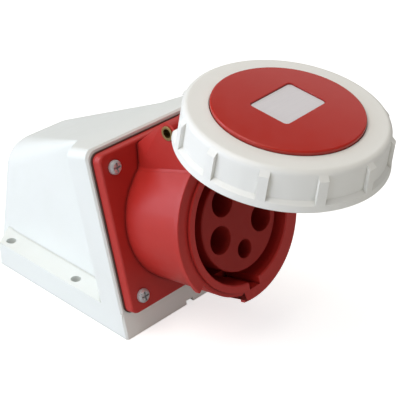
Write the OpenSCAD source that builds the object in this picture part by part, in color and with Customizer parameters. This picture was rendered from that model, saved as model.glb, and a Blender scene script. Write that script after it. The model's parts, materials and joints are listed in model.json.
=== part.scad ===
/* [Housing] */
// Width of the wall housing over its ledges and collar
housing_w = 90; // [84:1:110]
// Depth of the housing on the wall, from the lower front edge to the rear wall
housing_depth = 120; // [112:1:140]
// Lean of the front face, in degrees from square to the wall
front_tilt = 15.3; // [10:0.1:18]
// Height of the front face along its slope
front_h = 102; // [100:1:115]
// Width of the body between the two ledges
body_w = 63; // [60:1:68]
// Wall thickness of the housing
wall = 3; // [2:0.5:4]
// Height of the fixing ledges above the wall
ledge_h = 14; // [8:1:20]
// Depth of the full-width collar behind the front face
collar_d = 14.6; // [13:0.2:18]
// Depth over which the collar flares down to the body at the roof
flare_d = 7; // [4:0.5:12]
// Depth over which the collar flares down to the body at the ledges
flare_foot_d = 14; // [8:0.5:20]
// Height of the housing at its rear wall
rear_h = 65; // [58:1:72]
// Width of the rear wall at its top
rear_top_w = 55; // [50:1:60]
// Radius of the roof's side edges at the rear wall
roof_corner_r = 15; // [8:1:20]
// Radius round the edge of the rear wall
rear_edge_r = 6; // [3:0.5:8]
// Distance of the ledges' rear ends from the rear wall, at the body
ledge_back = 10; // [8:1:16]
// Depth of the slant across the ledges' rear ends
base_cut = 9; // [4:1:14]
// Draft of the rear wall, in degrees
rear_draft = 5; // [1:0.5:8]
// Radius of the collar's upper corners
collar_corner_r = 5; // [2:1:8]
// Width of the drain notch in the lower front edge
notch_w = 5; // [3:0.5:8]

/* [Wall fixing] */
// Spacing of the wall holes across the housing
wall_hole_x = 79; // [76:1:84]
// Spacing of the wall holes along the housing
wall_hole_y = 53; // [40:1:60]
// Distance from the lower front edge to the first wall hole
wall_hole_front = 44.4; // [36:0.2:50]
// Diameter of the wall holes
wall_hole_d = 5.5; // [4:0.1:6.5]

/* [Flange] */
// Side of the square flange
flange_w = 85; // [82:1:88]
// Thickness of the flange
flange_t = 5.5; // [4:0.5:8]
// Height of the flange centre along the front face
flange_s = 56.6; // [55:0.1:58]
// Corner radius of the flange
flange_corner_r = 4; // [2:0.5:8]
// Thickness of the flange gasket
gasket_t = 1; // [0.6:0.1:2]
// Overhang of the gasket round the flange
gasket_proud = 0.5; // [0:0.1:1]
// Spacing of the flange screws, both ways
screw_pitch = 69; // [66:0.5:72]
// Diameter of the flange screws
screw_d = 4; // [3:0.5:5]
// Head diameter of the flange screws
screw_head_d = 7.2; // [6:0.2:9]
// Head height of the flange screws
screw_head_h = 2.4; // [1.6:0.2:3]

/* [Sleeve] */
// Height of the sleeve axis along the front face
axis_s = 55.4; // [54:0.1:57]
// Bore of the sleeve, which takes the plug's shroud
bore_d = 64.4; // [63:0.2:66]
// Outside diameter of the sleeve at the flange
sleeve_root_d = 71.4; // [70.6:0.2:73]
// Outside diameter of the sleeve at its mouth
sleeve_mouth_d = 76.4; // [75:0.2:78]
// Length of the sleeve from the flange face to the ramp face
sleeve_len = 43.7; // [40:0.1:50]
// Outside diameter of the sealing lip
lip_d = 72; // [70:0.2:74]
// Height of the sealing lip above the ramp face
lip_h = 1.6; // [1:0.1:3]
// Outside diameter of the bayonet ramps
ramp_d = 84.6; // [83:0.2:86]
// Thickness of the bayonet ramps
ramp_t = 2.7; // [2:0.1:4]
// Angle of each gap between the ramps
gap_angle = 46; // [40:1:56]
// Direction of the lower gap's middle, from the width axis
gap_dir = -123; // [-126:1:-120]
// Width of the keyway
key_w = 7.4; // [5:0.2:9]
// Depth of the keyway in the sleeve wall
key_d = 3.6; // [2:0.2:4]
// Length of the keyway from the lip
key_len = 24; // [12:1:36]

/* [Contacts] */
// Diameter of the carrier's tower
tower_d = 52; // [51:0.5:53]
// Depth of the tower's face below the lip
tower_drop = 2.2; // [1:0.2:4]
// Diameter of the contacts' pitch circle
pitch_d = 31; // [30.5:0.1:31.5]
// Diameter of the line contacts' openings
line_open_d = 14; // [12:0.2:14.6]
// Depth of the line contacts' openings
line_open_depth = 15; // [8:1:20]
// Diameter of the earth contact's opening
earth_open_d = 9.6; // [9:0.1:10]
// Bore of the line contacts
line_bore_d = 6.1; // [5.1:0.1:6.4]
// Bore of the earth contact
earth_bore_d = 8.1; // [7.1:0.1:8.4]
// Wall of the contact tubes
contact_wall = 1.3; // [1:0.1:1.4]

/* [Hinge] */
// Height of the hinge pin along the front face
pin_s = 106; // [105:0.1:107]
// Height of the hinge pin above the front face
pin_n = 34.4; // [33:0.1:36]
// Outside diameter of the hollow hinge pin
pin_d = 6; // [5:0.1:6.4]
// Bore of the hollow hinge pin
pin_bore_d = 4.6; // [3:0.1:4.6]
// Width of the hinge boss at the pin
boss_w = 42; // [38:1:46]
// Width of the hinge boss at the flange
boss_root_w = 35; // [32:1:38]
// Width of the hinge arm on the lid
arm_w = 17.4; // [12:0.2:18]
// Opening of the lid as shown, in degrees from closed
lid_open = 67.1; // [0:0.1:105]

/* [Lid] */
// Height of the closed ring's top above the front face
ring_top_n = 64.6; // [64:0.1:66]
// Overall height of the bayonet ring
ring_h = 19.6; // [19.4:0.1:20.4]
// Outside diameter of the ring's panels at the top
ring_top_d = 94.8; // [93:0.2:97]
// Radius of the ring's upper edge
ring_round = 3; // [1:0.2:4]
// Outside diameter of the ring at its foot
ring_foot_d = 100.4; // [99:0.2:104]
// Height of the bead round the ring's foot
bead_h = 4.6; // [3:0.2:6]
// Depth of the panels between the ribs, at the bead
panel_d = 2.4; // [1:0.1:3]
// Number of grip ribs round the ring
rib_count = 12; // [8:1:16]
// Width of a grip rib
rib_w = 4.4; // [3:0.2:6]
// Direction of the first rib, in degrees from the width axis
rib_dir = -1.2; // [-4:0.2:4]
// Diameter of the red cover disc
cover_d = 70.5; // [68:0.5:71]
// Height of the cover disc above the ring
cover_rise = 2; // [1.2:0.1:2.6]
// Width of the label recess in the cover
label_w = 30; // [24:0.5:34]
// Length of the label recess in the cover
label_l = 21.5; // [16:0.5:26]
// Angle of each bayonet lug inside the ring
lug_angle = 26; // [20:1:30]
// Turn of the ring from free to locked, in degrees
ring_turn = 30; // [28:1:32]

/* [Cable entry] */
// Diameter of the cable entry in the rear wall
entry_d = 25.2; // [16:0.2:32]
// Height of the cable entry above the wall
entry_z = 36; // [32:1:40]
// Diameter of the entry plug's head
entry_head_d = 33; // [22:0.5:38]

/* [Hidden] */
$fn = 96;
hull_fn = 32;
// Overlap of cutting tools past the faces they cut
over = 1;

// Named clearances
run_gap = 0.05;
seat_gap = 0.3;
screw_gap = 0.2;
thread_gap = 0.1;
contact_gap = 0.15;
contact_lip_gap = 0.75;
ring_play = 1;
lug_play = 1;
cup_play = 0.8;
hub_play = 0.4;
block_play = 2;

// Places along the sleeve axis, from the front face outwards
face_n = gasket_t + flange_t;
ramp_n = face_n + sleeve_len;
lip_n = ramp_n + lip_h;
tower_n = lip_n - tower_drop;
ring_foot_n = ring_top_n - ring_h;

// Grip of the flange screws in the housing and depth of their pilot holes
screw_grip = 10;
pilot_len = screw_grip + 2;

// Radii round the sleeve axis
bore_r = bore_d / 2;
root_r = sleeve_root_d / 2;
mouth_r = sleeve_mouth_d / 2;
ramp_r = ramp_d / 2;
lip_r = lip_d / 2;
tower_r = tower_d / 2;
pitch_r = pitch_d / 2;
lip_chamfer = 0.6;
block_rim_w = 5.8;
block_rim_r = bore_r + block_rim_w;
block_rim_t = 4;
carrier_screw_r = bore_r + block_rim_w / 2;
carrier_screw_d = 2.6;
carrier_head_h = 1.8;
front_cut_r = block_rim_r + over;

// Contact numbers, clockwise from the earth contact at the foot
contact_step = 360 / 5;
earth_dir = -90;
tube_n = tower_n - line_open_depth - over;
collar_t = 2;
collar_extra = 1;
barrel_extra = 0.8;
barrel_len = 23;
block_floor_t = 2;
block_seat_n = gasket_t;
barrel_end_n = block_seat_n - barrel_len;
block_back_n = barrel_end_n - block_floor_t;
block_r = body_w / 2 - wall - block_play;
slot_w = 0.9;
wire_d = 5.4;
term_depth = 17;
term_n = block_seat_n - term_depth;
term_screw_d = 3.4;
term_head_d = 4.8;
term_head_t = 2;
term_slot_w = 0.8;
term_slot_d = 0.9;
block_screw_d = 4;
block_screw_head_d = 7;
block_screw_head_h = 2.5;
block_screw_len = 12;
block_screw_spare = 5;

// Lid sections
ring_plate_t = 3;
ring_inner_r = ramp_r + ring_play;
shelf_w = 1.4;
shelf_r = cover_d / 2 - shelf_w;
cover_sink = 1.2;
cover_n = ring_top_n - cover_sink;
cover_top_n = ring_top_n + cover_rise;
cup_r = ring_inner_r - cup_play;
cup_top_n = ring_top_n - ring_plate_t - seat_gap;
cup_plate_t = 3;
cup_wall_t = 3.3;
cup_lift = 0.8;
cup_foot_n = lip_n + cup_lift;
hub_r = shelf_r - hub_play;
spigot_r = 10;
seal_side_gap = 0.2;
seal_out_r = cup_r - cup_wall_t - seal_side_gap;
seal_lap = 0.6;
seal_in_r = bore_r - seal_lap;
seal_foot_n = lip_n + seat_gap;
seal_rib_t = 2.4;
rib_in_r = seal_in_r - seal_rib_t;
lug_t = 2.2;
lug_r = mouth_r + lug_play;
lug_lead = 2;
lug_dir = gap_dir - gap_angle / 2 + lug_angle / 2 + lug_lead;
window_side = 14;
window_from = 90 - window_side;
window_to = 90 + window_side + ring_turn;
knuckle_r = 6;
boss_r = 5.4;
boss_taper = 1.5;
boss_half = boss_w / 2 - boss_taper;
boss_front_n = ring_foot_n - seat_gap;
blend_r = 4;
slot_half = arm_w / 2 + seat_gap;
label_at = [2.7, 2.5];
label_turn = 2.5;
label_depth = 1;

// Cable entry in the rear wall
entry_flat = 0.5;
entry_land = 2.5;
entry_boss_len = 4;
entry_face_y = housing_depth - entry_flat;
entry_boss_t = wall + entry_boss_len;
entry_boss_r = entry_head_d / 2 + entry_land;
entry_seal_t = 1.5;

// Housing section in the plane across the wall: depth first, then height
hole_mid_y = wall_hole_front + wall_hole_y / 2;
up_s = [sin(front_tilt), cos(front_tilt)];
out_n = [-cos(front_tilt), sin(front_tilt)];
rear_top = [housing_depth - rear_h * tan(rear_draft), rear_h];
roof_fall = (front_h - rear_top * up_s) / (-rear_top * out_n - collar_d);
wall_len = rear_h / cos(rear_draft);
slice_t = 0.1;

function ring_point(r, dir) = [r * cos(dir), r * sin(dir)];
function blend_s(sleeve_r) = sqrt(pow(sleeve_r + blend_r, 2) - pow(boss_half + blend_r, 2));

// Places children in the sleeve's frame: width, up the front face, out of it
module at_front() {
    translate([0, -hole_mid_y, 0])
        rotate([90 - front_tilt, 0, 0])
            children();
}

// Places children on the sleeve axis, with the lid closed
module on_axis() {
    at_front()
        translate([0, axis_s, 0])
            children();
}

// Places children of the closed lid at the opening shown
module lid_pose() {
    at_front()
        translate([0, pin_s, pin_n])
            rotate([-lid_open, 0, 0])
                translate([0, axis_s - pin_s, -pin_n])
                    children();
}

// Square outline with round corners
module round_square(w, l, r) {
    square([w - 2 * r, l], center = true);
    square([w, l - 2 * r], center = true);
    for (x = [-1, 1])
        for (y = [-1, 1])
            translate([x * (w / 2 - r), y * (l / 2 - r)])
                circle(r);
}

// Sector of a turned outline between two directions
module sector(from, to) {
    rotate([0, 0, from])
        rotate_extrude(angle = to - from)
            children();
}

// Outline of the rear wall, set in by e: upright sides and a roof with round corners
module rear_outline(e) {
    r = roof_corner_r - e;
    at = [rear_top_w / 2 - roof_corner_r, wall_len - roof_corner_r];
    right = [for (dir = [0:10:90]) at + ring_point(r, dir)];
    left = [for (dir = [90:10:180]) [-at[0], at[1]] + ring_point(r, dir)];
    polygon(concat([[body_w / 2 - e, 0]], right, left, [[-body_w / 2 + e, 0]]));
}

// Body from the collar to the rear wall, set in from the outside by e
module body(e, front_n, edge_r) {
    intersection() {
        hull() {
            rotate([90 - front_tilt, 0, 0])
                translate([-body_w / 2 + e, 0, -front_n])
                    cube([body_w - 2 * e, front_h - e, slice_t]);
            translate([0, housing_depth, 0])
                rotate([90 + rear_draft, 0, 0])
                    for (turn = [0, 30, 60, 90])
                        translate([0, 0, e + edge_r * (1 - sin(turn))])
                            linear_extrude(slice_t)
                                rear_outline(e + edge_r * (1 - cos(turn)));
        }
        translate([-housing_w, -housing_depth, e])
            cube([2 * housing_w, 3 * housing_depth, 2 * front_h]);
    }
}

// Base plate with the two fixing ledges, which end in a slant
module base() {
    half = housing_w / 2;
    front = ledge_h * tan(front_tilt);
    back = housing_depth - ledge_back;
    linear_extrude(ledge_h)
        polygon([[-half, front], [half, front], [half, back - base_cut], [body_w / 2, back],
                 [-body_w / 2, back], [-half, back - base_cut]]);
}

// Slice of the collar parallel to the front face
module collar_slice(w, top, n, t) {
    translate([0, 0, n])
        linear_extrude(t)
            difference() {
                translate([-w / 2, 0])
                    square([w, top]);
                for (x = [-1, 1])
                    translate([x * w / 2, top])
                        difference() {
                            square(2 * collar_corner_r, center = true);
                            translate([-x * collar_corner_r, -collar_corner_r])
                                circle(collar_corner_r, $fn = hull_fn);
                        }
            }
}

// Full-width frame at the front that flares down to the body
module collar() {
    edge = 1;
    flare_top = front_h - roof_fall * flare_d;
    intersection() {
        rotate([90 - front_tilt, 0, 0])
            hull() {
                collar_slice(housing_w - 2 * edge, front_h - edge, -slice_t, slice_t);
                collar_slice(housing_w, front_h, -collar_d, collar_d - edge);
                translate([-body_w / 2, flare_top - edge, -collar_d - flare_d])
                    cube([body_w, edge, slice_t]);
                translate([-body_w / 2, 0, -collar_d - flare_foot_d])
                    cube([body_w, ledge_h, slice_t]);
            }
        translate([-housing_w, -housing_depth, 0])
            cube([2 * housing_w, 3 * housing_depth, 2 * front_h]);
    }
}

module housing() {
    front_cut_n = block_rim_t - gasket_t + carrier_head_h + seat_gap;
    notch_off = 1;
    color("whitesmoke")
        translate([0, -hole_mid_y, 0])
            difference() {
                union() {
                    base();
                    body(0, collar_d, rear_edge_r);
                    collar();
                    translate([0, entry_face_y, entry_z])
                        rotate([90, 0, 0])
                            cylinder(h = entry_boss_t, r = entry_boss_r);
                }
                body(wall, wall, rear_edge_r - wall / 2);
                for (x = [-1, 1])
                    for (y = [0, 1])
                        translate([x * wall_hole_x / 2, wall_hole_front + y * wall_hole_y, -over])
                            cylinder(h = ledge_h + 2 * over, d = wall_hole_d);
                translate([0, housing_depth + over, entry_z])
                    rotate([90, 0, 0])
                        cylinder(h = entry_boss_t + 6 * over, d = entry_d);
                translate([-notch_w / 2 + notch_off, -over, -over])
                    cube([notch_w, 4 * over, 3 * over]);
                rotate([90 - front_tilt, 0, 0]) {
                    translate([0, axis_s, -front_cut_n])
                        cylinder(h = front_cut_n + over, r = front_cut_r);
                    screw_places(-pilot_len)
                        cylinder(h = pilot_len + over, d = screw_d + 2 * thread_gap);
                }
            }
}

module flange_gasket() {
    side = flange_w + 2 * gasket_proud;
    color("dimgray")
        at_front()
            difference() {
                translate([0, flange_s, 0])
                    linear_extrude(gasket_t)
                        round_square(side, side, flange_corner_r + gasket_proud);
                translate([0, axis_s, -over])
                    cylinder(h = gasket_t + 2 * over, r = front_cut_r);
                screw_places(-over)
                    cylinder(h = gasket_t + 2 * over, d = screw_d + 2 * screw_gap);
            }
}

// Places children at the four flange screws
module screw_places(n) {
    for (x = [-1, 1])
        for (y = [-1, 1])
            translate([x * screw_pitch / 2, flange_s + y * screw_pitch / 2, n])
                children();
}

// Flange plate with a rolled front edge
module flange_plate() {
    roll = 1.2;
    translate([0, flange_s, gasket_t])
        linear_extrude(flange_t - roll)
            round_square(flange_w, flange_w, flange_corner_r);
    translate([0, flange_s, 0])
        hull()
            for (turn = [0, 30, 60, 90]) {
                side = flange_w - 2 * roll * (1 - cos(turn));
                translate([0, 0, face_n - roll * (1 - sin(turn)) - slice_t])
                    linear_extrude(slice_t)
                        round_square(side, side, flange_corner_r, $fn = hull_fn);
            }
}

// Block on the sleeve that carries the hinge pin
module hinge_boss() {
    foot_bite = 8;
    foot_s = axis_s + bore_r - foot_bite;
    foot_l = 6;
    top_margin = 2.6;
    root_top = flange_s + flange_w / 2 - top_margin;
    root_t = 1;
    hull() {
        translate([-boss_root_w / 2, foot_s, face_n - root_t])
            cube([boss_root_w, root_top - foot_s, 2 * root_t]);
        translate([-boss_half, foot_s, face_n])
            cube([2 * boss_half, foot_l, boss_front_n - face_n]);
        translate([-boss_w / 2, pin_s, pin_n])
            rotate([0, 90, 0])
                cylinder(h = boss_w, r = boss_r, $fn = hull_fn);
    }
}

// Rounds that fill the corners between the boss and the sleeve
module boss_blends() {
    bite = 4;
    lean = atan((blend_s(mouth_r) - blend_s(root_r)) / sleeve_len);
    at = [boss_half + blend_r, blend_s(root_r)];
    foot = at * (root_r - 1) / (root_r + blend_r);
    for (side = [-1, 1])
        translate([0, axis_s, face_n])
            rotate([-lean, 0, 0])
                linear_extrude(boss_front_n - face_n)
                    difference() {
                        polygon([[side * (boss_half - bite), at[1]], [side * at[0], at[1]],
                                 [side * foot[0], foot[1]], [side * (boss_half - bite), foot[1]]]);
                        translate([side * at[0], at[1]])
                            circle(blend_r);
                    }
}

// Turned sleeve with the proud sealing lip
module sleeve() {
    rotate_extrude()
        polygon([[bore_r - over, gasket_t], [root_r, gasket_t], [root_r, face_n], [mouth_r, ramp_n],
                 [lip_r, ramp_n], [lip_r, lip_n], [bore_r - over, lip_n]]);
}

// Bayonet ramps with a gap on each side
module ramps() {
    lead = 1.2;
    for (turn = [0, 180])
        sector(gap_dir + gap_angle / 2 + turn, gap_dir - gap_angle / 2 + turn + 180)
            polygon([[mouth_r - over, ramp_n - ramp_t - lead / 2], [mouth_r, ramp_n - ramp_t],
                     [ramp_r, ramp_n - ramp_t], [ramp_r, ramp_n - lead / 4],
                     [ramp_r - lead / 4, ramp_n], [mouth_r - over, ramp_n]]);
}

module socket_body() {
    slot_back = pin_n - knuckle_r - 3 * seat_gap;
    slot_skin = 1.6;
    slot_floor = axis_s + mouth_r + slot_skin;
    color("firebrick")
        at_front()
            difference() {
                union() {
                    flange_plate();
                    hinge_boss();
                    boss_blends();
                    translate([0, axis_s, 0]) {
                        sleeve();
                        ramps();
                    }
                }
                translate([0, axis_s, -over])
                    cylinder(h = lip_n + 2 * over, r = bore_r);
                translate([0, axis_s, lip_n - lip_chamfer])
                    cylinder(h = 2 * lip_chamfer, r1 = bore_r, r2 = bore_r + 2 * lip_chamfer);
                translate([-key_w / 2, axis_s - bore_r - key_d, lip_n - key_len])
                    cube([key_w, key_d + over, key_len + over]);
                translate([-slot_half, slot_floor, slot_back])
                    cube([2 * slot_half, pin_s, pin_n]);
                translate([-boss_w, pin_s, pin_n])
                    rotate([0, 90, 0])
                        cylinder(h = 2 * boss_w, r = pin_d / 2 + run_gap);
                screw_places(-over)
                    cylinder(h = face_n + 2 * over, d = screw_d + 2 * screw_gap);
                carrier_screw_places()
                    cylinder(h = flange_t - 1, d = carrier_screw_d + 2 * thread_gap);
            }
}

// Places children at the two carrier screws, on the flange's back
module carrier_screw_places() {
    for (x = [-1, 1])
        translate([x * carrier_screw_r, axis_s, gasket_t])
            children();
}

// Cross recess in a screw head whose top is at the origin
module cross_recess(d) {
    for (turn = [0, 90])
        rotate([0, 0, turn])
            translate([-d / 3, -d / 14, -d / 5])
                cube([d * 2 / 3, d / 7, d]);
}

// Screw with a pan head that stands on the origin
module pan_screw(d, len, head_d, head_h) {
    rim_h = head_h * 0.55;
    crown_d = head_d * 0.68;
    difference() {
        union() {
            translate([0, 0, -len])
                cylinder(h = len + over / 2, d = d);
            cylinder(h = rim_h, d = head_d);
            translate([0, 0, rim_h])
                cylinder(h = head_h - rim_h, d1 = head_d, d2 = crown_d);
        }
        translate([0, 0, head_h])
            cross_recess(head_d);
    }
}

module flange_screws() {
    color("silver")
        at_front()
            screw_places(face_n)
                pan_screw(screw_d, face_n + screw_grip, screw_head_d, screw_head_h);
}

function contact_dir(i) = earth_dir - i * contact_step;
function is_earth(i) = i == 0;
function tube_bore(i) = is_earth(i) ? earth_bore_d : line_bore_d;
function tube_r(i) = tube_bore(i) / 2 + contact_wall;
function barrel_r(i) = tube_r(i) + barrel_extra;

// Places children on a contact's own axis
module at_contact(i) {
    translate(ring_point(pitch_r, contact_dir(i)))
        children();
}

module contact_carrier() {
    color("brown")
        on_axis()
            difference() {
                union() {
                    translate([0, 0, block_seat_n])
                        cylinder(h = tower_n - block_seat_n - lip_chamfer, r = tower_r);
                    translate([0, 0, tower_n - lip_chamfer])
                        cylinder(h = lip_chamfer, r1 = tower_r, r2 = tower_r - lip_chamfer);
                }
                for (i = [0:4])
                    at_contact(i) {
                        translate([0, 0, block_seat_n - over])
                            cylinder(h = tube_n - block_seat_n + over + contact_gap,
                                     r = tube_r(i) + contact_gap);
                        cylinder(h = tower_n + over,
                                 d = is_earth(i) ? earth_open_d : tube_bore(i) + 2 * contact_lip_gap);
                        if (!is_earth(i))
                            translate([0, 0, tower_n - line_open_depth])
                                cylinder(h = line_open_depth + over, d = line_open_d);
                    }
                translate([0, 0, block_seat_n - over])
                    cylinder(h = block_screw_len + over, d = block_screw_d + 2 * thread_gap);
            }
}

module terminal_block() {
    color("brown")
        on_axis()
            difference() {
                union() {
                    translate([0, 0, block_back_n])
                        cylinder(h = block_seat_n - block_back_n, r = block_r);
                    translate([0, 0, block_seat_n - block_rim_t])
                        cylinder(h = block_rim_t, r = block_rim_r);
                }
                for (x = [-1, 1])
                    translate([x * carrier_screw_r, 0, block_seat_n - block_rim_t - over])
                        cylinder(h = block_rim_t + 2 * over, d = carrier_screw_d + 2 * screw_gap);
                for (i = [0:4])
                    at_contact(i) {
                        translate([0, 0, barrel_end_n])
                            cylinder(h = block_seat_n - barrel_end_n + over,
                                     r = barrel_r(i) + contact_gap);
                        translate([0, 0, block_seat_n - collar_t - contact_gap])
                            cylinder(h = collar_t + over, r = barrel_r(i) + collar_extra + contact_gap);
                        translate([0, 0, block_back_n - over])
                            cylinder(h = 2 * over + barrel_end_n - block_back_n,
                                     d = wire_d + 2 * contact_gap);
                    }
                for (i = [0:4])
                    at_terminal(i)
                        cylinder(h = block_r, d = term_head_d + 2 * screw_gap);
                translate([0, 0, block_back_n - over])
                    cylinder(h = 2 * block_r, d = block_screw_d + 2 * screw_gap);
                translate([0, 0, block_back_n - over])
                    cylinder(h = over + block_screw_head_h + seat_gap,
                             d = block_screw_head_d + 2 * screw_gap);
            }
}

// Places children on a terminal screw's axis, pointing outwards from its contact
module at_terminal(i) {
    rotate([0, 0, contact_dir(i)])
        translate([pitch_r, 0, term_n])
            rotate([0, 90, 0])
                children();
}

// Slotted tube in front, clamping barrel behind
module contact(i) {
    color("goldenrod")
        on_axis() {
            difference() {
                at_contact(i)
                    difference() {
                        union() {
                            translate([0, 0, block_seat_n])
                                cylinder(h = tube_n - block_seat_n, r = tube_r(i));
                            translate([0, 0, block_seat_n - collar_t])
                                cylinder(h = collar_t, r = barrel_r(i) + collar_extra);
                            translate([0, 0, barrel_end_n])
                                cylinder(h = block_seat_n - barrel_end_n, r = barrel_r(i));
                        }
                        translate([0, 0, gasket_t])
                            cylinder(h = tube_n, d = tube_bore(i));
                        translate([-slot_w / 2, -barrel_r(i), face_n])
                            cube([slot_w, 2 * barrel_r(i), tube_n]);
                        translate([0, 0, barrel_end_n - over])
                            cylinder(h = term_n - barrel_end_n + over + wire_d, d = wire_d);
                    }
                at_terminal(i)
                    cylinder(h = block_r, d = term_screw_d + 2 * thread_gap);
            }
        }
}

module contact_l1() {
    contact(1);
}

module contact_l2() {
    contact(2);
}

module contact_l3() {
    contact(3);
}

module contact_n() {
    contact(4);
}

module contact_pe() {
    contact(0);
}

module terminal_screws() {
    color("silver")
        on_axis()
            for (i = [0:4])
                at_terminal(i)
                    translate([0, 0, barrel_r(i) + seat_gap])
                        difference() {
                            union() {
                                translate([0, 0, -barrel_r(i) + wire_d / 2])
                                    cylinder(h = barrel_r(i) - wire_d / 2 + over, d = term_screw_d);
                                cylinder(h = term_head_t, d = term_head_d);
                            }
                            translate([-term_head_d, -term_slot_w / 2, term_head_t - term_slot_d])
                                cube([2 * term_head_d, term_slot_w, term_head_t]);
                        }
}

module carrier_screws() {
    spare = 2;
    color("silver")
        at_front()
            carrier_screw_places()
                translate([0, 0, -block_rim_t])
                    rotate([180, 0, 0])
                        pan_screw(carrier_screw_d, block_rim_t + flange_t - spare,
                                  2 * carrier_screw_d, carrier_head_h);
}

module block_screw() {
    color("silver")
        on_axis()
            translate([0, 0, block_back_n + block_screw_head_h + seat_gap])
                rotate([180, 0, 0])
                    pan_screw(block_screw_d,
                              block_seat_n - block_back_n + block_screw_len - block_screw_spare,
                              block_screw_head_d, block_screw_head_h);
}

// Hollow pin with a flared end on each side
module hinge_pin() {
    flare_w = 0.6;
    flare_r = pin_d / 2 + flare_w;
    flare_t = 0.7;
    color("goldenrod")
        at_front()
            translate([0, pin_s, pin_n])
                rotate([0, 90, 0])
                    difference() {
                        union() {
                            cylinder(h = boss_w, d = pin_d, center = true);
                            for (x = [-1, 1])
                                translate([0, 0, x * (boss_w + flare_t) / 2])
                                    cylinder(h = flare_t, r = flare_r, center = true);
                        }
                        cylinder(h = 2 * boss_w, d = pin_bore_d, center = true);
                    }
}

// Places children on the cable entry, pointing out of the rear wall's flat boss
module at_entry() {
    translate([0, entry_face_y - hole_mid_y, entry_z])
        rotate([-90, 0, 0])
            children();
}

module entry_seal() {
    set_in = 0.5;
    color("dimgray")
        at_entry()
            difference() {
                cylinder(h = entry_seal_t, d = entry_head_d - 2 * set_in);
                translate([0, 0, -over])
                    cylinder(h = entry_seal_t + 2 * over, d = entry_d);
            }
}

module entry_plug() {
    head_t = 4;
    bevel = 1;
    slot = 3;
    slot_depth = 2;
    shank_end = 5;
    shank_len = wall + shank_end;
    shank_wall = 3;
    hollow_r = entry_d / 2 - shank_wall;
    head_n = entry_seal_t + head_t;
    color("lightgray")
        at_entry()
            difference() {
                union() {
                    translate([0, 0, entry_seal_t])
                        cylinder(h = head_t - bevel, d = entry_head_d);
                    translate([0, 0, head_n - bevel])
                        cylinder(h = bevel, d1 = entry_head_d, d2 = entry_head_d - 2 * bevel);
                    translate([0, 0, -shank_len])
                        cylinder(h = shank_len + entry_seal_t + over, r = entry_d / 2 - screw_gap);
                }
                translate([0, 0, -shank_len - over])
                    cylinder(h = shank_len + over, r = hollow_r);
                translate([-entry_head_d / 3, -slot / 2, head_n - slot_depth])
                    cube([entry_head_d * 2 / 3, slot, head_t]);
            }
}

// Side outline of the hinge arm: up the front face, then out of it
module arm_outline() {
    top_drop = 2.5;
    top = cup_top_n - top_drop;
    elbow = 3;
    arm_t = 4.1;
    ramp_clear = 2.6;
    inner = axis_s + ramp_r + ramp_clear;
    outer = inner + arm_t;
    root_bite = 1;
    root = axis_s + cup_r - root_bite;
    root_lift = 0.6;
    root_n = cup_foot_n + root_lift;
    knee_n = ring_foot_n + root_bite;
    shoulder = 1.5;
    translate([pin_s, pin_n])
        circle(knuckle_r);
    polygon([[inner, pin_n], [pin_s, pin_n], [pin_s + knuckle_r - shoulder, pin_n + knuckle_r / 2],
             [outer, knee_n], [outer, top - elbow], [outer - elbow, top],
             [root, top], [root, root_n], [inner, root_n]]);
}

module lid_body() {
    web_l = 3;
    plate_n = cup_top_n - cup_plate_t;
    web_n = plate_n - web_l;
    web_r = seal_in_r - seal_side_gap;
    bore = spigot_r + contact_gap;
    wall_r = cup_r - cup_wall_t;
    hub_in_r = hub_r - web_l;
    color("firebrick")
        lid_pose()
            difference() {
                union() {
                    rotate_extrude()
                        polygon([[bore, plate_n], [rib_in_r, plate_n], [rib_in_r, web_n],
                                 [web_r, web_n], [web_r, plate_n], [wall_r, plate_n],
                                 [wall_r, cup_foot_n], [cup_r, cup_foot_n], [cup_r, cup_top_n],
                                 [hub_r, cup_top_n], [hub_r, cover_n], [hub_in_r, cover_n],
                                 [hub_in_r, cup_top_n], [bore, cup_top_n]]);
                    translate([-arm_w / 2, -axis_s, 0])
                        rotate([90, 0, 90])
                            linear_extrude(arm_w)
                                arm_outline();
                }
                translate([-arm_w, pin_s - axis_s, pin_n])
                    rotate([0, 90, 0])
                        cylinder(h = 2 * arm_w, r = pin_d / 2 + run_gap);
            }
}

module lid_gasket() {
    edge = 0.8;
    plate_n = cup_top_n - cup_plate_t;
    color("dimgray")
        lid_pose()
            rotate_extrude()
                polygon([[seal_in_r, plate_n], [seal_in_r, seal_foot_n + edge],
                         [seal_in_r + edge, seal_foot_n], [seal_out_r - edge, seal_foot_n],
                         [seal_out_r, seal_foot_n + edge], [seal_out_r, plate_n]]);
}

module lid_cover() {
    bevel = 0.5;
    label_corner_r = 2;
    spigot_end = 1.5;
    spigot_foot_n = cup_top_n - cup_plate_t - spigot_end;
    color("firebrick")
        lid_pose()
            difference() {
                rotate_extrude()
                    polygon([[0, spigot_foot_n], [spigot_r - bevel, spigot_foot_n],
                             [spigot_r, spigot_foot_n + bevel], [spigot_r, cover_n],
                             [cover_d / 2, cover_n], [cover_d / 2, cover_top_n - bevel],
                             [cover_d / 2 - bevel, cover_top_n], [0, cover_top_n]]);
                translate([label_at[0], label_at[1], cover_top_n - label_depth])
                    rotate([0, 0, label_turn])
                        linear_extrude(over + label_depth)
                            round_square(label_w, label_l, label_corner_r);
            }
}

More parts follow.
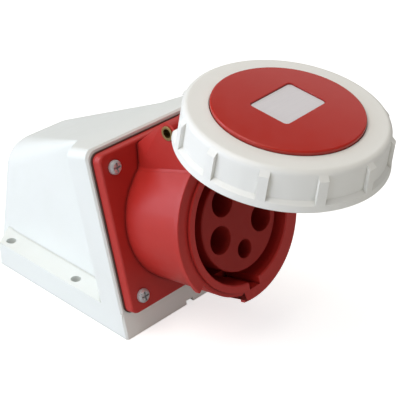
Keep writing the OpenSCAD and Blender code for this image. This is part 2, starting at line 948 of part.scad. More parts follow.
// Turned ring without ribs, lugs or window
module ring_shell() {
    bead_n = ring_foot_n + bead_h;
    edge = 0.8;
    foot_r = ring_foot_d / 2;
    round_at = [ring_top_d / 2 - ring_round, ring_top_n - ring_round];
    shelf_n = cover_n - seat_gap;
    seat_r = cover_d / 2 + seat_gap;
    plate_n = ring_top_n - ring_plate_t;
    bead_lean = 0.4;
    shoulder = [for (dir = [0:15:90]) round_at + ring_point(ring_round, dir)];
    rotate_extrude()
        polygon(concat([[ring_inner_r, ring_foot_n], [foot_r - edge, ring_foot_n],
                        [foot_r, ring_foot_n + edge], [foot_r - bead_lean, bead_n - edge],
                        [foot_r - panel_d, bead_n + edge]],
                       shoulder,
                       [[seat_r, ring_top_n], [seat_r, shelf_n], [shelf_r, shelf_n],
                        [shelf_r, plate_n], [ring_inner_r, plate_n]]));
}

// Grip ribs, nearly flush with the bead, that end on the ring's round upper edge
module ring_ribs() {
    set_in = 0.3;
    lean = 0.6;
    bite = 1;
    foot_r = ring_foot_d / 2 - set_in;
    foot_n = ring_foot_n + bite;
    knee_n = ring_top_n - ring_round - bite;
    rib_top_n = ring_top_n - ring_round / 4;
    top_r = ring_top_d / 2 - ring_round / 2;
    intersection() {
        rotate_extrude()
            polygon([[ring_inner_r, foot_n], [foot_r, foot_n], [foot_r - lean, knee_n],
                     [top_r, rib_top_n], [ring_inner_r, rib_top_n]]);
        for (i = [0:rib_count - 1])
            rotate([0, 0, rib_dir + i * 360 / rib_count])
                translate([ring_inner_r, -rib_w / 2, ring_foot_n])
                    cube([foot_r, rib_w, ring_h]);
    }
}

module bayonet_ring() {
    window_skin = 0.1;
    lug_bite = 1;
    color("ivory")
        lid_pose() {
            difference() {
                union() {
                    ring_shell();
                    ring_ribs();
                }
                sector(window_from, window_to)
                    translate([ring_inner_r - over, ring_foot_n - over])
                        square([ring_foot_d, ring_h - ring_plate_t + over - window_skin]);
            }
            for (turn = [0, 180])
                sector(lug_dir - lug_angle / 2 + turn, lug_dir + lug_angle / 2 + turn)
                    translate([lug_r, ring_foot_n])
                        square([ring_inner_r - lug_r + lug_bite, lug_t]);
        }
}

housing();
flange_gasket();
socket_body();
flange_screws();
contact_carrier();
terminal_block();
contact_l1();
contact_l2();
contact_l3();
contact_n();
contact_pe();
terminal_screws();
carrier_screws();
block_screw();
hinge_pin();
entry_plug();
entry_seal();
lid_body();
lid_cover();
lid_gasket();
bayonet_ring();
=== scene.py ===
"""Looks of an industrial wall socket: a white wall box, a red sleeve and a lid with a white locking ring."""

import json
import logging
import math
from dataclasses import dataclass, field
from enum import Enum
from typing import Any, Dict, List, Optional, Sequence, Tuple, Union

import bpy
from mathutils import Matrix, Vector

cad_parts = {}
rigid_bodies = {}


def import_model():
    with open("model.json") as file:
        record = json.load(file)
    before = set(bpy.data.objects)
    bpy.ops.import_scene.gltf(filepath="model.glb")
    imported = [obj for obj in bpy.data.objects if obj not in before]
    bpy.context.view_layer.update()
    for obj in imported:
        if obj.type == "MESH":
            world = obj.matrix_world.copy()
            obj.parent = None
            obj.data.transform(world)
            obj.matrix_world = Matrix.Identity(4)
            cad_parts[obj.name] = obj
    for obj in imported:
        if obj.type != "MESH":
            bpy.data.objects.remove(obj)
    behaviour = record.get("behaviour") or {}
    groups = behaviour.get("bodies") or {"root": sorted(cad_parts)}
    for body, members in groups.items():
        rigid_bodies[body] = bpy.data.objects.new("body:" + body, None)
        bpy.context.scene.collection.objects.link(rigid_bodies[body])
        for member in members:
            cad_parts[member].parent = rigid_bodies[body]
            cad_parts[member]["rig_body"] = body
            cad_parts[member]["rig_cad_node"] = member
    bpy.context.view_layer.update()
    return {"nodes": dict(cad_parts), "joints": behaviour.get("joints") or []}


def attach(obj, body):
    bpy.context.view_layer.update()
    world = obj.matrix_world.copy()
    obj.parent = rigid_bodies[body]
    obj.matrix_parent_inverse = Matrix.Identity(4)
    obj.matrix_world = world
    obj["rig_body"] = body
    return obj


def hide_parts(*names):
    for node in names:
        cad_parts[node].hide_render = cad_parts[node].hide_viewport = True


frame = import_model()
LOG = logging.getLogger("wall_socket")
MM = 0.001
LID_BODY = "lid"
WHITE = "FFFFFF"

# Sockets of a Mix node for colours, by number because its other types have sockets of the same names
MIX_FACTOR = 0
MIX_A = 6
MIX_B = 7
MIX_COLOUR = 2

# Span that most values of a noise texture lie in
NOISE_LOW = 0.3
NOISE_HIGH = 0.7


class Axis(Enum):
    """Directions that a tool can move along."""

    X = "X"
    Z = "Z"


class Slot(Enum):
    """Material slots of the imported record."""

    WHITE_HOUSING = "white_housing"
    WHITE_RING = "white_ring"
    RED_MOULDING = "red_moulding"
    RED_CARRIER = "red_carrier"
    RUBBER = "rubber"
    ZINC_SCREW = "zinc_screw"
    BRASS = "brass"
    GREY_PLUG = "grey_plug"


def linear(colour: str) -> Tuple[float, float, float, float]:
    """Turns an sRGB hex colour into linear light.

    Args:
        colour: Six hex digits, red first.

    Returns:
        Red, green, blue and alpha for a colour socket.
    """
    parts = [int(colour[i:i + 2], 16) / 255 for i in (0, 2, 4)]
    light = [c / 12.92 if c <= 0.04045 else ((c + 0.055) / 1.055) ** 2.4 for c in parts]
    return (light[0], light[1], light[2], 1.0)


def per_metre(size_mm: float) -> float:
    """Gives the texture scale at which one cell of a pattern is size_mm wide."""
    return 1.0 / (size_mm * MM)


def add_node(tree: bpy.types.NodeTree, kind: str, settings: Optional[Dict[str, Any]] = None,
             inputs: Optional[Dict[Any, Any]] = None) -> bpy.types.Node:
    """Adds a shader node with its settings, values and links.

    Args:
        tree: Node tree that takes the node.
        kind: Blender's type name of the node.
        settings: Properties of the node itself.
        inputs: Socket name or number, with the value to set or the output to link.

    Returns:
        The new node.
    """
    node = tree.nodes.new(kind)
    for key, value in (settings or {}).items():
        setattr(node, key, value)
    for key, value in (inputs or {}).items():
        if isinstance(value, bpy.types.NodeSocket):
            tree.links.new(value, node.inputs[key])
        else:
            node.inputs[key].default_value = value
    return node


def new_material(name: str) -> Tuple[bpy.types.Material, bpy.types.NodeTree, bpy.types.NodeSocket]:
    """Starts an empty material.

    Args:
        name: Name of the material.

    Returns:
        The material, its node tree and the output's surface socket.
    """
    material = bpy.data.materials.new(name)
    material.use_nodes = True
    tree = material.node_tree
    tree.nodes.clear()
    out = add_node(tree, "ShaderNodeOutputMaterial")
    return material, tree, out.inputs["Surface"]


@dataclass(frozen=True)
class MouldedPlastic:
    """Injection-moulded plastic: coloured all through, slightly cloudy, with the fine grain of the mould, and
    painted shade darkening its tight corners.

    Attributes:
        name: Common name of the plastic and its finish.
        colour: Main colour.
        cloud: Colour that the clouding drifts towards.
        crevice_shade: Colour of the painted shade in narrow corners.
        roughness: Lowest and highest roughness.
        grain_mm: Size of the mould's grain, drawn coarser than the real 0.1 mm so that it shows.
        grain_depth_mm: Depth of that grain.
        grain_strength: Share of that depth that the light shows.
        cloud_mm: Size of the clouds.
        polish_mm: Size of the duller and brighter patches.
        crevice_shade_mm: Reach of the painted shade in the corners.
        openness: Openness at which the painted corner shade is darkest, and at which it is gone.
        ior: Refractive index of the surface.
        shine: Strength of the surface's reflection, 0.5 for a clean skin.
    """

    name: str
    colour: str
    cloud: str
    crevice_shade: str
    roughness: Tuple[float, float]
    grain_mm: float = 0.7
    grain_depth_mm: float = 0.012
    grain_strength: float = 0.35
    cloud_mm: float = 26.0
    polish_mm: float = 6.5
    crevice_shade_mm: float = 2.5
    openness: Tuple[float, float] = (0.25, 0.8)
    ior: float = 1.52
    shine: float = 0.5

    def material(self) -> bpy.types.Material:
        """Builds the material on Object coordinates.

        Returns:
            The new material.
        """
        material, tree, surface = new_material(self.name)
        place = add_node(tree, "ShaderNodeTexCoord").outputs["Object"]
        clouds = add_node(tree, "ShaderNodeTexNoise", None,
                          {"Vector": place, "Scale": per_metre(self.cloud_mm), "Detail": 3.0,
                           "Roughness": 0.55})
        tint = add_node(tree, "ShaderNodeMix", {"data_type": "RGBA"},
                        {MIX_FACTOR: clouds.outputs["Fac"], MIX_A: linear(self.colour),
                         MIX_B: linear(self.cloud)})
        # Painted shade: the colour darkens towards the crevice colour where ambient occlusion finds tight
        # corners and gaps between parts
        corner = add_node(tree, "ShaderNodeAmbientOcclusion", {"samples": 6},
                          {"Distance": self.crevice_shade_mm * MM})
        painted_shade_fac = add_node(tree, "ShaderNodeMapRange", None,
                        {"Value": corner.outputs["AO"], "From Min": self.openness[0],
                         "From Max": self.openness[1]})
        colour = add_node(tree, "ShaderNodeMix", {"data_type": "RGBA"},
                          {MIX_FACTOR: painted_shade_fac.outputs["Result"], MIX_A: linear(self.crevice_shade),
                           MIX_B: tint.outputs[MIX_COLOUR]})
        polish = add_node(tree, "ShaderNodeTexNoise", None,
                          {"Vector": place, "Scale": per_metre(self.polish_mm), "Detail": 5.0})
        rough = add_node(tree, "ShaderNodeMapRange", None,
                         {"Value": polish.outputs["Fac"], "From Min": NOISE_LOW, "From Max": NOISE_HIGH,
                          "To Min": self.roughness[0], "To Max": self.roughness[1]})
        grain = add_node(tree, "ShaderNodeTexNoise", None,
                         {"Vector": place, "Scale": per_metre(self.grain_mm), "Detail": 2.0})
        bump = add_node(tree, "ShaderNodeBump", None,
                        {"Height": grain.outputs["Fac"], "Strength": self.grain_strength,
                         "Distance": self.grain_depth_mm * MM})
        shader = add_node(tree, "ShaderNodeBsdfPrincipled", None,
                          {"Base Color": colour.outputs[MIX_COLOUR], "Roughness": rough.outputs["Result"],
                           "Normal": bump.outputs["Normal"], "IOR": self.ior,
                           "Specular IOR Level": self.shine})
        tree.links.new(shader.outputs["BSDF"], surface)
        return material


@dataclass(frozen=True)
class TurnedMetal:
    """Turned or rolled metal: bright, with fine rings left by the tool and a slightly uneven plating.

    Attributes:
        name: Common name of the metal and its finish.
        colour: Main colour.
        stain: Colour of the duller patches.
        roughness: Lowest and highest roughness.
        ring_mm: Distance between tool marks, drawn coarser than real so that they show.
        ring_depth_mm: Depth of a tool mark.
        ring_strength: Share of that depth that the light shows.
        ring_waver: How far the marks stray from plain rings.
        along: Direction that the tool moved along.
        patch_mm: Size of the duller patches.
        metallic: How far the skin is bare metal; a dull plating has less.
    """

    name: str
    colour: str
    stain: str
    roughness: Tuple[float, float]
    ring_mm: float = 0.5
    ring_depth_mm: float = 0.01
    ring_strength: float = 0.4
    ring_waver: float = 0.4
    along: Axis = Axis.X
    patch_mm: float = 4.0
    metallic: float = 1.0

    def material(self) -> bpy.types.Material:
        """Builds the material on Object coordinates.

        Returns:
            The new material.
        """
        material, tree, surface = new_material(self.name)
        place = add_node(tree, "ShaderNodeTexCoord").outputs["Object"]
        patches = add_node(tree, "ShaderNodeTexNoise", None,
                           {"Vector": place, "Scale": per_metre(self.patch_mm), "Detail": 4.0})
        colour = add_node(tree, "ShaderNodeMix", {"data_type": "RGBA"},
                          {MIX_FACTOR: patches.outputs["Fac"], MIX_A: linear(self.colour),
                           MIX_B: linear(self.stain)})
        rough = add_node(tree, "ShaderNodeMapRange", None,
                         {"Value": patches.outputs["Fac"], "From Min": NOISE_LOW, "From Max": NOISE_HIGH,
                          "To Min": self.roughness[0], "To Max": self.roughness[1]})
        rings = add_node(tree, "ShaderNodeTexWave", {"bands_direction": self.along.value},
                         {"Vector": place, "Scale": per_metre(self.ring_mm) / (2 * math.pi),
                          "Distortion": self.ring_waver})
        bump = add_node(tree, "ShaderNodeBump", None,
                        {"Height": rings.outputs["Fac"], "Strength": self.ring_strength,
                         "Distance": self.ring_depth_mm * MM})
        shader = add_node(tree, "ShaderNodeBsdfPrincipled", None,
                          {"Base Color": colour.outputs[MIX_COLOUR], "Roughness": rough.outputs["Result"],
                           "Normal": bump.outputs["Normal"], "Metallic": self.metallic})
        tree.links.new(shader.outputs["BSDF"], surface)
        return material


@dataclass(frozen=True)
class SealRubber:
    """Moulded rubber: dark, dull, with a dusty bloom in patches.

    Attributes:
        name: Common name of the rubber.
        colour: Main colour.
        bloom: Colour of the dusty patches.
        roughness: Roughness all over.
        dust_mm: Size of the dusty patches.
        pebble_mm: Size of the surface's fine pebbles, drawn coarser than real so that they show.
        pebble_depth_mm: Depth of the pebbles.
        pebble_strength: Share of that depth that the light shows.
    """

    name: str
    colour: str
    bloom: str
    roughness: float = 0.72
    dust_mm: float = 9.0
    pebble_mm: float = 0.6
    pebble_depth_mm: float = 0.02
    pebble_strength: float = 0.3

    def material(self) -> bpy.types.Material:
        """Builds the material on Object coordinates.

        Returns:
            The new material.
        """
        material, tree, surface = new_material(self.name)
        place = add_node(tree, "ShaderNodeTexCoord").outputs["Object"]
        dust = add_node(tree, "ShaderNodeTexNoise", None,
                        {"Vector": place, "Scale": per_metre(self.dust_mm), "Detail": 5.0})
        colour = add_node(tree, "ShaderNodeMix", {"data_type": "RGBA"},
                          {MIX_FACTOR: dust.outputs["Fac"], MIX_A: linear(self.colour),
                           MIX_B: linear(self.bloom)})
        pebbles = add_node(tree, "ShaderNodeTexVoronoi", None,
                           {"Vector": place, "Scale": per_metre(self.pebble_mm)})
        bump = add_node(tree, "ShaderNodeBump", None,
                        {"Height": pebbles.outputs["Distance"], "Strength": self.pebble_strength,
                         "Distance": self.pebble_depth_mm * MM})
        shader = add_node(tree, "ShaderNodeBsdfPrincipled", None,
                          {"Base Color": colour.outputs[MIX_COLOUR], "Roughness": self.roughness,
                           "Normal": bump.outputs["Normal"]})
        tree.links.new(shader.outputs["BSDF"], surface)
        return material


@dataclass(frozen=True)
class LabelFilm:
    """Matt silver polyester film, faintly brushed.

    Attributes:
        name: Common name of the film.
        colour: Main colour.
        streak: Colour of the brushed streaks.
        roughness: Roughness all over.
        streak_mm: Width of a streak, drawn coarser than real so that it shows.
        stretch: Width of a streak as a share of its length.
        metallic: How far the film looks like bare metal.
    """

    name: str
    colour: str
    streak: str
    roughness: float = 0.42
    streak_mm: float = 0.7
    stretch: float = 0.06
    metallic: float = 0.15

    def material(self) -> bpy.types.Material:
        """Builds the material on Object coordinates.

        Returns:
            The new material.
        """
        material, tree, surface = new_material(self.name)
        place = add_node(tree, "ShaderNodeTexCoord").outputs["Object"]
        stretch = add_node(tree, "ShaderNodeMapping", None,
                           {"Vector": place, "Scale": (self.stretch, 1.0, 1.0)})
        streaks = add_node(tree, "ShaderNodeTexNoise", None,
                           {"Vector": stretch.outputs["Vector"], "Scale": per_metre(self.streak_mm),
                            "Detail": 3.0})
        colour = add_node(tree, "ShaderNodeMix", {"data_type": "RGBA"},
                          {MIX_FACTOR: streaks.outputs["Fac"], MIX_A: linear(self.colour),
                           MIX_B: linear(self.streak)})
        shader = add_node(tree, "ShaderNodeBsdfPrincipled", None,
                          {"Base Color": colour.outputs[MIX_COLOUR], "Roughness": self.roughness,
                           "Metallic": self.metallic})
        tree.links.new(shader.outputs["BSDF"], surface)
        return material


Finish = Union[MouldedPlastic, TurnedMetal, SealRubber]


def deselect_all() -> None:
    """Leaves nothing selected, so that an operator meets only what is picked next."""
    if bpy.context.object is not None and bpy.context.object.mode != "OBJECT":
        bpy.ops.object.mode_set(mode="OBJECT")
    bpy.ops.object.select_all(action="DESELECT")


def make_active(piece: bpy.types.Object) -> None:
    """Selects one piece alone and makes it the active one.

    Args:
        piece: Piece that the next operators act on.
    """
    deselect_all()
    piece.select_set(True)
    bpy.context.view_layer.objects.active = piece


def paint(piece: bpy.types.Object, material: bpy.types.Material) -> None:
    """Gives a piece one material in place of its own."""
    piece.data.materials.clear()
    piece.data.materials.append(material)


@dataclass(frozen=True)
class EdgeRound:
    """How a moulded piece's edges are broken.

    Attributes:
        width_mm: Width of the round.
        segments: Faces across the round.
        limit_deg: Edges with a larger turn than this are rounded.
        smooth_deg: Edges with a smaller turn than this are shaded smooth.
    """

    width_mm: float
    segments: int = 2
    limit_deg: float = 32.0
    smooth_deg: float = 34.0


# Points closer than the first are one corner, and faces that turn less than the second are one flat
MERGE_MM = 0.002
FLAT_DEG = 0.4


def softened_copy(node: str, name: str, rounding: EdgeRound) -> bpy.types.Object:
    """Copies a CAD node as one closed mesh and breaks its sharp edges.

    Args:
        node: Name of the CAD node.
        name: Name of the new piece.
        rounding: Width and limits of the round.

    Returns:
        The new piece, which stands for the node and rides on its body.
    """
    source = frame["nodes"][node]
    make_active(source)
    bpy.ops.object.duplicate()
    piece = bpy.context.object
    piece.name = name
    # The copy isn't the CAD node itself, so it gives up the node's mark
    del piece["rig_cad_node"]
    bpy.ops.mesh.customdata_custom_splitnormals_clear()
    bpy.ops.object.mode_set(mode="EDIT")
    bpy.ops.mesh.select_all(action="SELECT")
    bpy.ops.mesh.remove_doubles(threshold=MERGE_MM * MM)
    bpy.ops.mesh.dissolve_limited(angle_limit=math.radians(FLAT_DEG))
    bpy.ops.object.mode_set(mode="OBJECT")
    bevel = piece.modifiers.new("edge_round", "BEVEL")
    bevel.width = rounding.width_mm * MM
    bevel.segments = rounding.segments
    bevel.limit_method = "ANGLE"
    bevel.angle_limit = math.radians(rounding.limit_deg)
    bevel.use_clamp_overlap = True
    bevel.miter_outer = "MITER_ARC"
    bpy.ops.object.modifier_apply(modifier=bevel.name)
    bpy.ops.object.shade_smooth_by_angle(angle=math.radians(rounding.smooth_deg))
    weighted = piece.modifiers.new("flat_faces", "WEIGHTED_NORMAL")
    weighted.keep_sharp = True
    bpy.ops.object.modifier_apply(modifier=weighted.name)
    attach(piece, source["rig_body"])
    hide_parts(node)
    return piece


# White mouldings: a satin skin with broad soft highlights, and painted creamy shade in tight corners
HOUSING_WHITE = MouldedPlastic("glass-filled nylon, satin white", "EFF1EE", "E9EBE6", "BDBCB2", (0.36, 0.46))
RING_WHITE = MouldedPlastic("nylon, satin warm white", "F1F0EC", "EBEAE4", "C4C2B8", (0.34, 0.44))
# Red mouldings: a half-dull sleeve, a polished cover that mirrors the lamps, and a dull pressed carrier, each
# with painted dark shade in tight corners
SLEEVE_RED = MouldedPlastic("nylon, semi-gloss red", "BE2E27", "B32822", "5A1210", (0.36, 0.46))
COVER_RED = MouldedPlastic("nylon, glossy red", "B9291C", "B2261B", "6A1612", (0.14, 0.2),
                           grain_depth_mm=0.004)
CARRIER_RED = MouldedPlastic("thermoset, dull red", "9C211B", "912019", "3A0D0B", (0.5, 0.62), shine=0.3)
# Soft grey plug with a waxy sheen and painted shade in tight corners
PLUG_GREY = MouldedPlastic("polyethylene, grey", "A7A9A8", "9B9D9C", "6B6C6A", (0.45, 0.55))
# Seals that swallow the light
BLACK_RUBBER = SealRubber("nitrile rubber", "1E1D1D", "2C2B2A")
# Seal round the flange: dark rubber, lightened to red-brown as a painted reflection of the red flange's edge
RUBBER_WITH_PAINTED_REFLECTION = SealRubber("dark rubber with painted red reflection", "4A2C26", "5C3A32")
# Pale plated screws, duller than bare steel, and brass with warm streaky reflections
ZINC = TurnedMetal("zinc-plated steel", "E2E3E4", "C2C4C7", (0.26, 0.4), along=Axis.Z, metallic=0.5)
BRASS = TurnedMetal("turned brass", "C8A04C", "A88338", (0.24, 0.36))
PIN_BRASS = TurnedMetal("rolled brass tube", "D6BE86", "BFA36A", (0.28, 0.4))
# Film that shines dully along its brushing
SILVER_FILM = LabelFilm("silver polyester film", "E8E4E6", "DEDADD")


@dataclass
class Shown:
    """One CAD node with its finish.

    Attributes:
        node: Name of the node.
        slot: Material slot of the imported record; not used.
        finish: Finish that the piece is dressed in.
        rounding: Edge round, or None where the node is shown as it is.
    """

    node: str
    slot: Slot
    finish: Finish
    rounding: Optional[EdgeRound] = None


@dataclass
class SubAssembly:
    """Group of nodes that come off together.

    Attributes:
        nodes: Nodes of the group with their finishes.
        pieces: Pieces made so far, by node name.
    """

    nodes: List[Shown] = field(default_factory=list)
    pieces: Dict[str, bpy.types.Object] = field(default_factory=dict)

    def build(self) -> None:
        """Makes a softened copy of each node that has an edge round."""
        for shown in self.nodes:
            if shown.rounding is None:
                self.pieces[shown.node] = frame["nodes"][shown.node]
            else:
                self.pieces[shown.node] = softened_copy(shown.node, f"{shown.node}_shell", shown.rounding)

    def dress(self, materials: Dict[str, bpy.types.Material]) -> None:
        """Paints every piece of the group.

        Args:
            materials: Materials made so far, by the finish's name; new ones are added.
        """
        for shown in self.nodes:
            if shown.finish.name not in materials:
                materials[shown.finish.name] = shown.finish.material()
            piece = self.pieces[shown.node]
            paint(piece, materials[shown.finish.name])
            LOG.info("%s in %s", piece.name, shown.finish.name)


@dataclass
class WallBox(SubAssembly):
    """White box on the wall, with its front seal and the plugged cable entry."""

    nodes: List[Shown] = field(default_factory=lambda: [
        Shown("housing", Slot.WHITE_HOUSING, HOUSING_WHITE, EdgeRound(0.5, limit_deg=50.0)),
        # The flange seal's red-brown is a painted reflection of the red flange over dark rubber
        Shown("flange_gasket", Slot.RUBBER, RUBBER_WITH_PAINTED_REFLECTION),
        Shown("entry_plug", Slot.GREY_PLUG, PLUG_GREY, EdgeRound(0.35)),
        Shown("entry_seal", Slot.RUBBER, BLACK_RUBBER),
    ])


@dataclass
class SleeveUnit(SubAssembly):
    """Red flange and sleeve, with its screws and the hinge pin."""

    nodes: List[Shown] = field(default_factory=lambda: [
        Shown("socket_body", Slot.RED_MOULDING, SLEEVE_RED, EdgeRound(0.3, limit_deg=50.0)),
        Shown("flange_screws", Slot.ZINC_SCREW, ZINC, EdgeRound(0.12)),
        Shown("hinge_pin", Slot.BRASS, PIN_BRASS, EdgeRound(0.15)),
    ])


@dataclass
class ContactUnit(SubAssembly):
    """Contact carrier with the contacts, terminals and screws behind it."""

    nodes: List[Shown] = field(default_factory=lambda: [
        Shown("contact_carrier", Slot.RED_CARRIER, CARRIER_RED, EdgeRound(0.3)),
        Shown("terminal_block", Slot.RED_CARRIER, CARRIER_RED),
        Shown("contact_l1", Slot.BRASS, BRASS),
        Shown("contact_l2", Slot.BRASS, BRASS),
        Shown("contact_l3", Slot.BRASS, BRASS),
        Shown("contact_n", Slot.BRASS, BRASS),
        Shown("contact_pe", Slot.BRASS, BRASS),
        Shown("terminal_screws", Slot.ZINC_SCREW, ZINC),
        Shown("carrier_screws", Slot.ZINC_SCREW, ZINC),
        Shown("block_screw", Slot.ZINC_SCREW, ZINC),
    ])


@dataclass
class LockingLid(SubAssembly):
    """Hinged lid with its red cover, seal, label and the white bayonet ring.

    Attributes:
        label_w_mm: Width of the label.
        label_l_mm: Length of the label, up the lid.
        label_corner_mm: Radius of the label's corners.
        label_corner_faces: Faces round one corner.
        label_t_mm: Thickness of the film.
        label_x_mm: Place of the label's middle across the lid.
        label_y_mm: Place of the label's middle up the lid.
        label_turn_deg: Turn of the label on the lid.
        recess_above_ring_mm: Height of the recess's floor above the ring's top.
    """

    nodes: List[Shown] = field(default_factory=lambda: [
        Shown("lid_body", Slot.RED_MOULDING, SLEEVE_RED, EdgeRound(0.3)),
        Shown("lid_cover", Slot.RED_MOULDING, COVER_RED, EdgeRound(0.3)),
        Shown("lid_gasket", Slot.RUBBER, BLACK_RUBBER),
        Shown("bayonet_ring", Slot.WHITE_RING, RING_WHITE, EdgeRound(0.5)),
    ])
    label_w_mm: float = 29.4
    label_l_mm: float = 20.9
    label_corner_mm: float = 1.8
    label_corner_faces: int = 6
    label_t_mm: float = 0.3
    label_x_mm: float = 2.7
    label_y_mm: float = 2.5
    label_turn_deg: float = 2.5
    recess_above_ring_mm: float = 1.0

    def lid_frame(self) -> Matrix:
        """Gives the lid's own frame at rest: across, up the lid and out of it, on the ring's axis.

        Returns:
            Matrix that takes a point of the lid's frame to the part's frame.
        """
        joint = next(j for j in frame["joints"] if j["name"] == "ring_turn")
        out = -Vector(joint["axis"]).normalized()
        across = Vector((1, 0, 0))
        up = out.cross(across)
        turn = Matrix((across, up, out)).transposed().to_4x4()
        return Matrix.Translation(Vector(joint["pos_m"])) @ turn

    def build(self) -> None:
        """Makes the softened copies and the label."""
        super().build()
        self.build_label()

    def build_label(self) -> None:
        """Models the label as a thin sheet with round corners, in its recess."""
        deselect_all()
        bpy.ops.mesh.primitive_plane_add(size=1.0)
        label = bpy.context.object
        label.name = "lid_label"
        label.scale = (self.label_w_mm * MM, self.label_l_mm * MM, 1.0)
        bpy.ops.object.transform_apply(location=False, rotation=False, scale=True)
        bpy.ops.object.mode_set(mode="EDIT")
        bpy.ops.mesh.select_all(action="SELECT")
        bpy.ops.mesh.bevel(offset=self.label_corner_mm * MM, segments=self.label_corner_faces,
                           affect="VERTICES")
        bpy.ops.object.mode_set(mode="OBJECT")
        thick = label.modifiers.new("film", "SOLIDIFY")
        thick.thickness = self.label_t_mm * MM
        thick.offset = 1.0
        bpy.ops.object.modifier_apply(modifier=thick.name)
        place = Matrix.Translation(Vector((self.label_x_mm, self.label_y_mm, self.recess_above_ring_mm)) * MM)
        turn = Matrix.Rotation(math.radians(self.label_turn_deg), 4, "Z")
        label.matrix_world = self.lid_frame() @ place @ turn
        bpy.ops.object.transform_apply()
        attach(label, LID_BODY)
        self.pieces["lid_label"] = label

    def dress(self, materials: Dict[str, bpy.types.Material]) -> None:
        """Paints the lid's pieces and its label.

        Args:
            materials: Materials made so far, by the finish's name; new ones are added.
        """
        super().dress(materials)
        label = self.pieces["lid_label"]
        materials[SILVER_FILM.name] = SILVER_FILM.material()
        paint(label, materials[SILVER_FILM.name])
        LOG.info("%s in %s", label.name, SILVER_FILM.name)


def seen_by_camera(tree: bpy.types.NodeTree, path: bpy.types.Node) -> bpy.types.NodeSocket:
    """Tells the rays that the camera sees straight or through glass from all others.

    Args:
        tree: Node tree of the floor or the surroundings.
        path: Light Path node of that tree.

    Returns:
        Socket that is 1 for such a ray and 0 for any other.
    """
    seen = add_node(tree, "ShaderNodeMath", {"operation": "MAXIMUM"},
                    {0: path.outputs["Is Camera Ray"], 1: path.outputs["Is Transmission Ray"]})
    return seen.outputs["Value"]


@dataclass(frozen=True)
class Softbox:
    """One soft studio lamp.

    Attributes:
        name: Name of the lamp.
        place: Where it stands, in metres.
        size: Width and height of its face, in metres.
        power: Power in watts.
        colour: Colour of its light.
        mirrored: Whether glossy faces show the lamp.
    """

    name: str
    place: Tuple[float, float, float]
    size: Tuple[float, float]
    power: float
    colour: str
    mirrored: bool = True


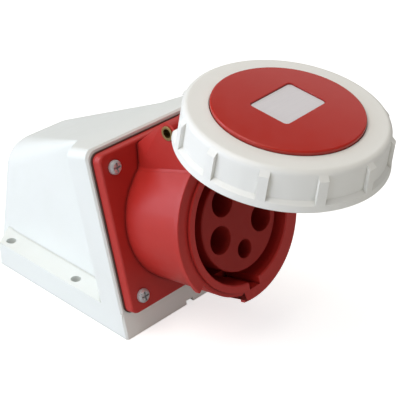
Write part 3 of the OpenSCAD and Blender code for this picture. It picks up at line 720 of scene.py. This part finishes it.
@dataclass
class Studio:
    """Pale floor, soft lamps, white surroundings and the camera of the photograph.

    Attributes:
        camera_place: Camera position in metres.
        azimuth_deg: Turn of the camera round the object.
        elevation_deg: Height of the camera above the horizon.
        roll_deg: Lean of the camera.
        lens_mm: Focal length.
        sensor_mm: Width of the sensor.
        floor_m: Side of the floor.
        floor_colour: Colour of the floor.
        floor_mirrored: Colour of the floor in glossy reflections.
        aim: Point that the lamps face.
        ambient: Light from the surroundings.
        mirrored: Brightness of the surroundings in glossy reflections.
        floor_glow: Brightness that the floor shows to the camera on top of its own light.
        lamps: Lamps of the studio.
    """

    camera_place: Tuple[float, float, float] = (-0.376614, -0.4248, 0.372357)
    azimuth_deg: float = -47.352
    elevation_deg: float = 30.836
    roll_deg: float = 0.795
    lens_mm: float = 107.74
    sensor_mm: float = 36.0
    floor_m: float = 6.0
    floor_colour: str = "E4E4E2"
    floor_mirrored: str = "9A9A98"
    aim: Tuple[float, float, float] = (0.0, -0.05, 0.06)
    ambient: float = 0.35
    mirrored: float = 0.12
    floor_glow: float = 0.62
    lamps: Sequence[Softbox] = (
        Softbox("left_back_softbox", (-1.2, 1.3, 0.5), (1.2, 0.9), 9.0, "DDEBFF"),
        Softbox("back_softbox", (-0.6, 1.4, 1.0), (1.2, 0.8), 5.0, "E6F0FF"),
        Softbox("left_low_softbox", (-1.7, 0.3, 0.25), (1.2, 0.5), 7.5, "D6E6FF"),
        Softbox("top_left_softbox", (-1.0, 0.2, 1.5), (1.0, 1.0), 10.5, "FFFCF6"),
        Softbox("top_softbox", (0.0, 0.3, 1.8), (1.2, 1.2), 6.0, "FFF8EA"),
        Softbox("back_right_softbox", (1.44, 0.81, 0.94), (1.6, 0.6), 2.4, WHITE),
        Softbox("front_fill", (0.4, -1.8, 0.5), (1.2, 0.8), 2.2, "FFF6EA", mirrored=False),
    )

    def build(self) -> None:
        """Makes the floor, the surroundings, the lamps and the camera."""
        self.build_floor()
        self.build_world()
        for lamp in self.lamps:
            self.build_lamp(lamp)
        self.build_camera()

    def build_floor(self) -> None:
        """Lays the pale floor, which shows white to the camera and keeps the shadow."""
        deselect_all()
        bpy.ops.mesh.primitive_plane_add(size=self.floor_m)
        floor = bpy.context.object
        floor.name = "studio_floor"
        material, tree, surface = new_material("pale studio floor")
        path = add_node(tree, "ShaderNodeLightPath")
        seen = seen_by_camera(tree, path)
        strength = add_node(tree, "ShaderNodeMath", {"operation": "MULTIPLY"},
                            {0: seen, 1: self.floor_glow})
        glow = add_node(tree, "ShaderNodeEmission", None,
                        {"Color": linear(WHITE), "Strength": strength.outputs["Value"]})
        shade = add_node(tree, "ShaderNodeMix", {"data_type": "RGBA"},
                         {MIX_FACTOR: path.outputs["Is Glossy Ray"], MIX_A: linear(self.floor_colour),
                          MIX_B: linear(self.floor_mirrored)})
        matt = add_node(tree, "ShaderNodeBsdfDiffuse", None, {"Color": shade.outputs[MIX_COLOUR]})
        both = add_node(tree, "ShaderNodeAddShader", None,
                        {0: matt.outputs["BSDF"], 1: glow.outputs["Emission"]})
        tree.links.new(both.outputs["Shader"], surface)
        paint(floor, material)

    def build_world(self) -> None:
        """Surrounds the object with what is white to the camera, a soft light, and dim in reflections."""
        world = bpy.data.worlds.new("studio_surroundings")
        bpy.context.scene.world = world
        world.use_nodes = True
        tree = world.node_tree
        tree.nodes.clear()
        path = add_node(tree, "ShaderNodeLightPath")
        seen = seen_by_camera(tree, path)
        lit = add_node(tree, "ShaderNodeMapRange", None,
                       {"Value": path.outputs["Is Glossy Ray"], "To Min": self.ambient,
                        "To Max": self.mirrored})
        strength = add_node(tree, "ShaderNodeMapRange", None,
                            {"Value": seen, "To Min": lit.outputs["Result"], "To Max": 1.0})
        back = add_node(tree, "ShaderNodeBackground", None,
                        {"Color": linear(WHITE), "Strength": strength.outputs["Result"]})
        out = add_node(tree, "ShaderNodeOutputWorld", None, {"Surface": back.outputs["Background"]})
        out.is_active_output = True

    def build_lamp(self, lamp: Softbox) -> None:
        """Hangs one softbox, facing the object.

        Args:
            lamp: Place, size and power of the lamp.
        """
        deselect_all()
        bpy.ops.object.light_add(type="AREA", location=lamp.place)
        light = bpy.context.object
        light.name = lamp.name
        light.data.shape = "RECTANGLE"
        light.data.size, light.data.size_y = lamp.size
        light.data.energy = lamp.power
        light.data.color = linear(lamp.colour)[:3]
        light.visible_glossy = lamp.mirrored
        facing = Vector(self.aim) - Vector(lamp.place)
        light.rotation_mode = "QUATERNION"
        light.rotation_quaternion = facing.to_track_quat("-Z", "Y")

    def build_camera(self) -> None:
        """Sets the camera where the photograph was taken from."""
        deselect_all()
        bpy.ops.object.camera_add(location=self.camera_place)
        camera = bpy.context.object
        camera.name = "photo_camera"
        azimuth = math.radians(self.azimuth_deg)
        elevation = math.radians(self.elevation_deg)
        roll = math.radians(self.roll_deg)
        back = Vector((math.sin(azimuth) * math.cos(elevation), -math.cos(azimuth) * math.cos(elevation),
                       math.sin(elevation)))
        right = Vector((math.cos(azimuth), math.sin(azimuth), 0))
        up = back.cross(right)
        across = math.cos(roll) * right + math.sin(roll) * up
        upward = math.cos(roll) * up - math.sin(roll) * right
        turn = Matrix((across, upward, back)).transposed().to_4x4()
        camera.matrix_world = Matrix.Translation(Vector(self.camera_place)) @ turn
        camera.data.lens = self.lens_mm
        camera.data.sensor_width = self.sensor_mm
        bpy.context.scene.camera = camera


def main() -> None:
    """Builds and dresses the socket, then sets up the studio."""
    logging.basicConfig(level=logging.INFO, format="%(message)s")
    bpy.context.scene.view_settings.view_transform = "Standard"
    materials: Dict[str, bpy.types.Material] = {}
    for unit in (WallBox(), SleeveUnit(), ContactUnit(), LockingLid()):
        unit.build()
        unit.dress(materials)
    Studio().build()


if __name__ == "__main__":
    main()
